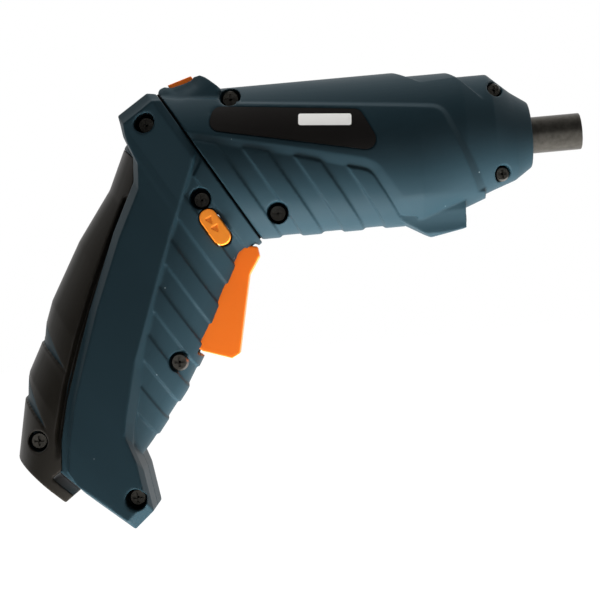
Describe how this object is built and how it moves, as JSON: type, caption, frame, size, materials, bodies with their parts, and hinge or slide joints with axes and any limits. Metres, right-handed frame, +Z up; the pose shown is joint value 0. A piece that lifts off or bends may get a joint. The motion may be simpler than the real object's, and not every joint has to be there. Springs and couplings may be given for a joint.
{
  "type": "electric screwdriver",
  "caption": "Cordless screwdriver whose barrel head turns on a slanted joint between pistol and straight positions, with trigger, direction button and hexagon bit holder.",
  "frame": {"origin": "centre of the bit holder's mouth", "axes": "+X along the bit axis, out of the tool; +Z up, away from the handle; Y = 0 is the plane where the casing halves meet"},
  "size_m": [0.1776, 0.0484, 0.1344],
  "materials": {
    "casing": "fine matt texture",
    "grip": "satin",
    "orange": "satin",
    "black_plastic": "gloss",
    "white_plastic": "satin",
    "clear_plastic": "clear",
    "dark_steel": "black oxide",
    "steel": "bright",
    "bronze": "sintered",
    "magnet": "dull",
    "copper": "enamelled",
    "board": "lacquered",
    "cell": "shrink sleeve"
  },
  "bodies": {
    "handle": {"handle_shell_right": "casing", "handle_shell_left": "casing", "rear_grip_right": "grip", "rear_grip_left": "grip", "handle_screws": "dark_steel", "swivel_hub": "black_plastic", "battery_cell": "cell", "battery_straps": "steel", "charge_board": "board", "charge_jack": "black_plastic", "trigger_switch": "black_plastic", "trigger_pin": "steel"},
    "trigger_lever": {"trigger": "orange"},
    "plunger": {"switch_plunger": "white_plastic"},
    "direction_slider": {"direction_button": "orange"},
    "head": {"head_shell_right": "casing", "head_shell_left": "casing", "head_screws": "dark_steel", "label_plate": "black_plastic", "lamp_lens": "clear_plastic", "lamp_diode": "white_plastic", "front_bush": "bronze", "gearbox_cover": "black_plastic", "ring_gear": "black_plastic", "motor_plate": "steel", "motor_can": "steel", "motor_magnets": "magnet", "motor_end_cap": "white_plastic"},
    "release": {"release_button": "orange", "lock_slider": "steel"},
    "spindle": {"bit_holder": "dark_steel", "bit_magnet": "magnet", "output_carrier": "steel", "output_planet_pins": "steel"},
    "sun_carrier": {"first_carrier": "steel", "first_planet_pins": "steel"},
    "rotor": {"armature": "steel", "rotor_windings": "copper", "commutator": "copper", "motor_shaft": "steel", "motor_pinion": "steel"},
    "output_gear_1": {"output_planet_1": "steel"},
    "output_gear_2": {"output_planet_2": "steel"},
    "output_gear_3": {"output_planet_3": "steel"},
    "first_gear_1": {"first_planet_1": "steel"},
    "first_gear_2": {"first_planet_2": "steel"},
    "first_gear_3": {"first_planet_3": "steel"}
  },
  "joints": [
    {"name": "head_swivel", "type": "hinge", "parent": "handle", "child": "head", "pos_m": [-0.1123, 0, -0.0013], "axis": [0.8616, 0, 0.5075], "range_deg": [0, 180]},
    {"name": "trigger_pull", "type": "hinge", "parent": "handle", "child": "trigger_lever", "pos_m": [-0.10827, 0, -0.02869], "axis": [0, 1, 0], "range_deg": [0, 8], "stiffness_Nm_per_rad": 0.6, "springref_deg": -8.59},
    {"name": "plunger_slide", "type": "slide", "parent": "handle", "child": "plunger", "axis": [-0.8746, 0, 0.4848], "range_m": [0, 0.00205]},
    {"name": "direction_slide", "type": "slide", "parent": "handle", "child": "direction_slider", "axis": [0, 1, 0], "range_m": [0, 0.0024]},
    {"name": "release_press", "type": "slide", "parent": "head", "child": "release", "axis": [0.5075, 0, -0.8616], "range_m": [0, 0.0022], "stiffness_N_per_m": 600, "springref_m": -0.004},
    {"name": "spindle_spin", "type": "hinge", "parent": "head", "child": "spindle", "pos_m": [0, 0, 0], "axis": [1, 0, 0], "continuous": true},
    {"name": "carrier_spin", "type": "hinge", "parent": "head", "child": "sun_carrier", "pos_m": [-0.047, 0, 0], "axis": [1, 0, 0], "continuous": true},
    {"name": "rotor_spin", "type": "hinge", "parent": "head", "child": "rotor", "pos_m": [-0.07, 0, 0], "axis": [1, 0, 0], "continuous": true},
    {"name": "output_planet_1_spin", "type": "hinge", "parent": "spindle", "child": "output_gear_1", "pos_m": [-0.043, 0, 0.0075], "axis": [1, 0, 0], "continuous": true},
    {"name": "output_planet_2_spin", "type": "hinge", "parent": "spindle", "child": "output_gear_2", "pos_m": [-0.043, -0.00649, -0.00375], "axis": [1, 0, 0], "continuous": true},
    {"name": "output_planet_3_spin", "type": "hinge", "parent": "spindle", "child": "output_gear_3", "pos_m": [-0.043, 0.00649, -0.00375], "axis": [1, 0, 0], "continuous": true},
    {"name": "first_planet_1_spin", "type": "hinge", "parent": "sun_carrier", "child": "first_gear_1", "pos_m": [-0.051, 0, 0.0075], "axis": [1, 0, 0], "continuous": true},
    {"name": "first_planet_2_spin", "type": "hinge", "parent": "sun_carrier", "child": "first_gear_2", "pos_m": [-0.051, -0.00649, -0.00375], "axis": [1, 0, 0], "continuous": true},
    {"name": "first_planet_3_spin", "type": "hinge", "parent": "sun_carrier", "child": "first_gear_3", "pos_m": [-0.051, 0.00649, -0.00375], "axis": [1, 0, 0], "continuous": true}
  ],
  "couplings": [
    {"joint": "plunger_slide", "follows": "trigger_pull", "m_per_rad": 0.014},
    {"joint": "carrier_spin", "follows": "rotor_spin", "ratio": 0.13333},
    {"joint": "spindle_spin", "follows": "rotor_spin", "ratio": 0.017778},
    {"joint": "output_planet_1_spin", "follows": "rotor_spin", "ratio": -0.04202},
    {"joint": "output_planet_2_spin", "follows": "rotor_spin", "ratio": -0.04202},
    {"joint": "output_planet_3_spin", "follows": "rotor_spin", "ratio": -0.04202},
    {"joint": "first_planet_1_spin", "follows": "rotor_spin", "ratio": -0.31515},
    {"joint": "first_planet_2_spin", "follows": "rotor_spin", "ratio": -0.31515},
    {"joint": "first_planet_3_spin", "follows": "rotor_spin", "ratio": -0.31515}
  ]
}
